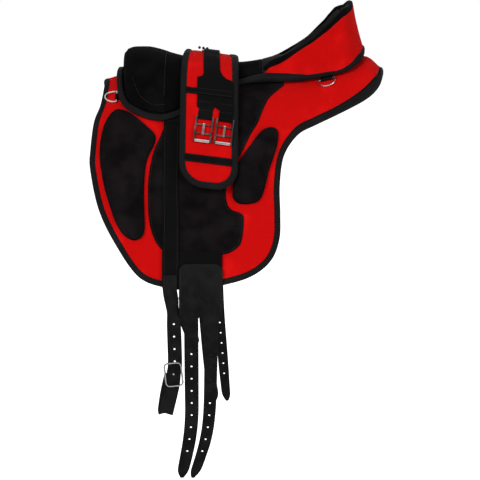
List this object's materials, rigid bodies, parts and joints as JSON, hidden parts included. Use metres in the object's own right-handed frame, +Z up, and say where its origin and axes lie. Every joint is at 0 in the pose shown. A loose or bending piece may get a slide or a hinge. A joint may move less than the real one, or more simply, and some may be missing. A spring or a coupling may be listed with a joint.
{
  "type": "treeless saddle",
  "caption": "Treeless riding saddle with soft panels, padded seat, knee and thigh blocks, hanging stirrup and girth straps, and a padded buckled girth laid over the seat.",
  "frame": {"origin": "on the spine line at the underside of the panels, below the deepest part of the seat", "axes": "+X towards the cantle, -Y towards the near side, +Z up"},
  "size_m": [0.5879, 0.5326, 0.9442],
  "materials": {
    "red_mesh": "woven mesh",
    "black_suede": "napped suede",
    "black_tape": "ribbed tape and webbing",
    "black_leather": "grained",
    "grey_felt": "felt",
    "white_foam": "soft foam",
    "nickel_plate": "polished"
  },
  "bodies": {
    "saddle": {"near_panel_foam": "white_foam", "off_panel_foam": "white_foam", "near_panel_lining": "black_suede", "off_panel_lining": "black_suede", "panel_cover": "red_mesh", "spine_strip": "grey_felt", "panel_binding": "black_tape", "suede_overlay": "black_suede", "near_knee_block": "black_suede", "off_knee_block": "black_suede", "near_thigh_block": "black_suede", "off_thigh_block": "black_suede", "seat_base": "grey_felt", "seat_skirt": "black_suede", "seat_skirt_binding": "black_tape", "pommel_roll": "black_suede", "seat_cushion": "black_suede", "cantle_bolster": "black_suede", "cantle_panel": "red_mesh", "cantle_rim": "black_suede", "near_front_chape": "black_tape", "off_front_chape": "black_tape", "near_rear_chape": "black_tape", "off_rear_chape": "black_tape"},
    "girth": {"girth_body": "red_mesh", "girth_binding": "black_tape", "girth_strap": "black_tape", "near_girth_keeper": "black_tape", "off_girth_keeper": "black_tape", "girth_ring": "nickel_plate"},
    "near_front_dee": {"near_front_dee": "nickel_plate"},
    "near_rear_dee": {"near_rear_dee": "nickel_plate"},
    "near_stirrup_web": {"near_stirrup_web": "black_tape"},
    "near_stirrup_leather": {"near_stirrup_leather": "black_leather", "near_stirrup_buckle": "nickel_plate"},
    "near_billet_plate": {"near_billet_plate": "black_leather", "near_billet_web": "black_tape"},
    "near_front_billet": {"near_front_billet": "black_leather"},
    "near_rear_billet": {"near_rear_billet": "black_leather"},
    "near_front_girth_buckle": {"near_front_girth_buckle": "nickel_plate"},
    "near_front_girth_tongue": {"near_front_girth_tongue": "nickel_plate"},
    "near_front_girth_roller": {"near_front_girth_roller": "nickel_plate"},
    "near_rear_girth_buckle": {"near_rear_girth_buckle": "nickel_plate"},
    "near_rear_girth_tongue": {"near_rear_girth_tongue": "nickel_plate"},
    "near_rear_girth_roller": {"near_rear_girth_roller": "nickel_plate"},
    "off_front_dee": {"off_front_dee": "nickel_plate"},
    "off_rear_dee": {"off_rear_dee": "nickel_plate"},
    "off_stirrup_web": {"off_stirrup_web": "black_tape"},
    "off_stirrup_leather": {"off_stirrup_leather": "black_leather", "off_stirrup_buckle": "nickel_plate"},
    "off_billet_plate": {"off_billet_plate": "black_leather", "off_billet_web": "black_tape"},
    "off_front_billet": {"off_front_billet": "black_leather"},
    "off_rear_billet": {"off_rear_billet": "black_leather"},
    "off_front_girth_buckle": {"off_front_girth_buckle": "nickel_plate"},
    "off_front_girth_tongue": {"off_front_girth_tongue": "nickel_plate"},
    "off_front_girth_roller": {"off_front_girth_roller": "nickel_plate"},
    "off_rear_girth_buckle": {"off_rear_girth_buckle": "nickel_plate"},
    "off_rear_girth_tongue": {"off_rear_girth_tongue": "nickel_plate"},
    "off_rear_girth_roller": {"off_rear_girth_roller": "nickel_plate"}
  },
  "joints": [
    {"name": "girth_lift", "type": "slide", "parent": "saddle", "child": "girth", "axis": [0, 0, 1], "range_m": [0, 0.3]},
    {"name": "near_front_dee_swing", "type": "hinge", "parent": "saddle", "child": "near_front_dee", "pos_m": [-0.24615, -0.09254, -0.01499], "axis": [0, 0.748, 0.6637], "range_deg": [0, 75]},
    {"name": "near_rear_dee_swing", "type": "hinge", "parent": "saddle", "child": "near_rear_dee", "pos_m": [0.17405, -0.07907, 0.01963], "axis": [-0.9619, 0.1133, -0.249], "range_deg": [0, 90]},
    {"name": "near_stirrup_web_swing", "type": "hinge", "parent": "saddle", "child": "near_stirrup_web", "pos_m": [-0.13393, -0.1325, -0.06198], "axis": [-1, 0, 0], "range_deg": [0, 60]},
    {"name": "near_stirrup_leather_swing", "type": "hinge", "parent": "near_stirrup_web", "child": "near_stirrup_leather", "pos_m": [-0.13393, -0.24634, -0.35749], "axis": [0, 0.9655, -0.2603], "range_deg": [0, 16]},
    {"name": "near_billet_plate_swing", "type": "hinge", "parent": "saddle", "child": "near_billet_plate", "pos_m": [-0.07375, -0.22811, -0.30324], "axis": [-1, 0, 0], "range_deg": [0, 60]},
    {"name": "near_front_billet_swing", "type": "hinge", "parent": "near_billet_plate", "child": "near_front_billet", "pos_m": [-0.09275, -0.25253, -0.43161], "axis": [-1, 0, 0], "range_deg": [-30, 45]},
    {"name": "near_rear_billet_swing", "type": "hinge", "parent": "near_billet_plate", "child": "near_rear_billet", "pos_m": [-0.05475, -0.25253, -0.43161], "axis": [-1, 0, 0], "range_deg": [-30, 45]},
    {"name": "near_front_girth_buckle_swing", "type": "hinge", "parent": "girth", "child": "near_front_girth_buckle", "pos_m": [-0.06734, -0.1558, -0.04945], "axis": [-0.9923, 0, 0.1236], "range_deg": [0, 75]},
    {"name": "near_front_girth_tongue_swing", "type": "hinge", "parent": "near_front_girth_buckle", "child": "near_front_girth_tongue", "pos_m": [-0.0691, -0.164, -0.06358], "axis": [-0.9923, 0, 0.1236], "range_deg": [0, 100]},
    {"name": "near_front_girth_roller_spin", "type": "hinge", "parent": "near_front_girth_buckle", "child": "near_front_girth_roller", "pos_m": [-0.07272, -0.18085, -0.09262], "axis": [-0.9923, 0, 0.1236], "continuous": true},
    {"name": "near_rear_girth_buckle_swing", "type": "hinge", "parent": "girth", "child": "near_rear_girth_buckle", "pos_m": [-0.02684, -0.1558, -0.05449], "axis": [-0.9923, 0, 0.1236], "range_deg": [0, 75]},
    {"name": "near_rear_girth_tongue_swing", "type": "hinge", "parent": "near_rear_girth_buckle", "child": "near_rear_girth_tongue", "pos_m": [-0.0286, -0.164, -0.06862], "axis": [-0.9923, 0, 0.1236], "range_deg": [0, 100]},
    {"name": "near_rear_girth_roller_spin", "type": "hinge", "parent": "near_rear_girth_buckle", "child": "near_rear_girth_roller", "pos_m": [-0.03222, -0.18085, -0.09766], "axis": [-0.9923, 0, 0.1236], "continuous": true},
    {"name": "off_front_dee_swing", "type": "hinge", "parent": "saddle", "child": "off_front_dee", "pos_m": [-0.24615, 0.09254, -0.01499], "axis": [0, 0.748, -0.6637], "range_deg": [0, 75]},
    {"name": "off_rear_dee_swing", "type": "hinge", "parent": "saddle", "child": "off_rear_dee", "pos_m": [0.17405, 0.07907, 0.01963], "axis": [0.9619, 0.1133, 0.249], "range_deg": [0, 90]},
    {"name": "off_stirrup_web_swing", "type": "hinge", "parent": "saddle", "child": "off_stirrup_web", "pos_m": [-0.13393, 0.1325, -0.06198], "axis": [1, 0, 0], "range_deg": [0, 60]},
    {"name": "off_stirrup_leather_swing", "type": "hinge", "parent": "off_stirrup_web", "child": "off_stirrup_leather", "pos_m": [-0.13393, 0.24634, -0.35749], "axis": [0, 0.9655, 0.2603], "range_deg": [0, 16]},
    {"name": "off_billet_plate_swing", "type": "hinge", "parent": "saddle", "child": "off_billet_plate", "pos_m": [-0.07375, 0.22811, -0.30324], "axis": [1, 0, 0], "range_deg": [0, 60]},
    {"name": "off_front_billet_swing", "type": "hinge", "parent": "off_billet_plate", "child": "off_front_billet", "pos_m": [-0.09275, 0.25253, -0.43161], "axis": [1, 0, 0], "range_deg": [-30, 45]},
    {"name": "off_rear_billet_swing", "type": "hinge", "parent": "off_billet_plate", "child": "off_rear_billet", "pos_m": [-0.05475, 0.25253, -0.43161], "axis": [1, 0, 0], "range_deg": [-30, 45]},
    {"name": "off_front_girth_buckle_swing", "type": "hinge", "parent": "girth", "child": "off_front_girth_buckle", "pos_m": [-0.06734, 0.1558, -0.04945], "axis": [0.9923, 0, -0.1236], "range_deg": [0, 75]},
    {"name": "off_front_girth_tongue_swing", "type": "hinge", "parent": "off_front_girth_buckle", "child": "off_front_girth_tongue", "pos_m": [-0.0691, 0.164, -0.06358], "axis": [0.9923, 0, -0.1236], "range_deg": [0, 100]},
    {"name": "off_front_girth_roller_spin", "type": "hinge", "parent": "off_front_girth_buckle", "child": "off_front_girth_roller", "pos_m": [-0.07272, 0.18085, -0.09262], "axis": [0.9923, 0, -0.1236], "continuous": true},
    {"name": "off_rear_girth_buckle_swing", "type": "hinge", "parent": "girth", "child": "off_rear_girth_buckle", "pos_m": [-0.02684, 0.1558, -0.05449], "axis": [0.9923, 0, -0.1236], "range_deg": [0, 75]},
    {"name": "off_rear_girth_tongue_swing", "type": "hinge", "parent": "off_rear_girth_buckle", "child": "off_rear_girth_tongue", "pos_m": [-0.0286, 0.164, -0.06862], "axis": [0.9923, 0, -0.1236], "range_deg": [0, 100]},
    {"name": "off_rear_girth_roller_spin", "type": "hinge", "parent": "off_rear_girth_buckle", "child": "off_rear_girth_roller", "pos_m": [-0.03222, 0.18085, -0.09766], "axis": [0.9923, 0, -0.1236], "continuous": true}
  ]
}
